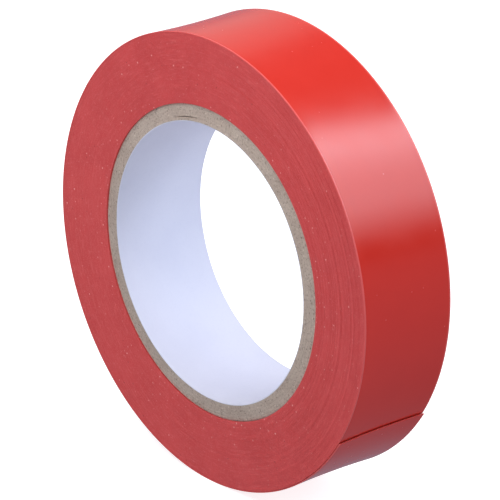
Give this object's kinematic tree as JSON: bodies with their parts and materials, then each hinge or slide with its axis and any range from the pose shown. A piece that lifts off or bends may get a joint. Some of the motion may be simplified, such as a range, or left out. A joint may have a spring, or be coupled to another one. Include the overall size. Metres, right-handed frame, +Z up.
{
  "type": "electrical tape roll",
  "caption": "Roll of red PVC electrical tape wound on a paper-lined cardboard core, standing on its rim, with a free end that peels off the outer turn.",
  "frame": {"origin": "centre of the core's bore, halfway between the two side faces", "axes": "+Y is the roll's axis, and points away from the face that the front view shows. +Z is up as the roll stands on its rim, and +X is to the right in that front view. The cut end of the tape lies below +X."},
  "size_m": [0.0639, 0.015, 0.0639],
  "materials": {
    "pvc_film": "glossy plasticised PVC film",
    "pvc_winding": "matte slit edges of the wound PVC film",
    "adhesive": "tacky rubber adhesive, clear over the red film",
    "core_board": "grey-brown recycled board, cut edge",
    "liner_paper": "smooth white paper"
  },
  "bodies": {
    "roll": {"core_liner": "liner_paper", "core_ply_1": "core_board", "core_ply_2": "core_board", "core_ply_3": "core_board", "core_ply_4": "core_board", "core_ply_5": "core_board", "tape_winding": "pvc_winding", "outer_turn_film": "pvc_film", "outer_turn_adhesive": "adhesive"},
    "free_end_1": {"free_end_film_1": "pvc_film", "free_end_adhesive_1": "adhesive"},
    "free_end_2": {"free_end_film_2": "pvc_film", "free_end_adhesive_2": "adhesive"},
    "free_end_3": {"free_end_film_3": "pvc_film", "free_end_adhesive_3": "adhesive"},
    "free_end_4": {"free_end_film_4": "pvc_film", "free_end_adhesive_4": "adhesive"},
    "free_end_5": {"free_end_film_5": "pvc_film", "free_end_adhesive_5": "adhesive"},
    "free_end_6": {"free_end_film_6": "pvc_film", "free_end_adhesive_6": "adhesive"}
  },
  "joints": [
    {"name": "peel_1", "type": "hinge", "parent": "roll", "child": "free_end_1", "pos_m": [0.00868, 0, -0.03079], "axis": [0, 1, 0], "range_deg": [0, 9]},
    {"name": "peel_2", "type": "hinge", "parent": "free_end_1", "child": "free_end_2", "pos_m": [0.01237, 0, -0.02951], "axis": [0, 1, 0], "range_deg": [0, 9]},
    {"name": "peel_3", "type": "hinge", "parent": "free_end_2", "child": "free_end_3", "pos_m": [0.01588, 0, -0.02778], "axis": [0, 1, 0], "range_deg": [0, 9]},
    {"name": "peel_4", "type": "hinge", "parent": "free_end_3", "child": "free_end_4", "pos_m": [0.01915, 0, -0.02564], "axis": [0, 1, 0], "range_deg": [0, 9]},
    {"name": "peel_5", "type": "hinge", "parent": "free_end_4", "child": "free_end_5", "pos_m": [0.02213, 0, -0.02312], "axis": [0, 1, 0], "range_deg": [0, 9]},
    {"name": "peel_6", "type": "hinge", "parent": "free_end_5", "child": "free_end_6", "pos_m": [0.02478, 0, -0.02026], "axis": [0, 1, 0], "range_deg": [0, 9]}
  ],
  "couplings": [
    {"joint": "peel_2", "follows": "peel_1", "ratio": 1},
    {"joint": "peel_3", "follows": "peel_1", "ratio": 1},
    {"joint": "peel_4", "follows": "peel_1", "ratio": 1},
    {"joint": "peel_5", "follows": "peel_1", "ratio": 1},
    {"joint": "peel_6", "follows": "peel_1", "ratio": 1}
  ]
}
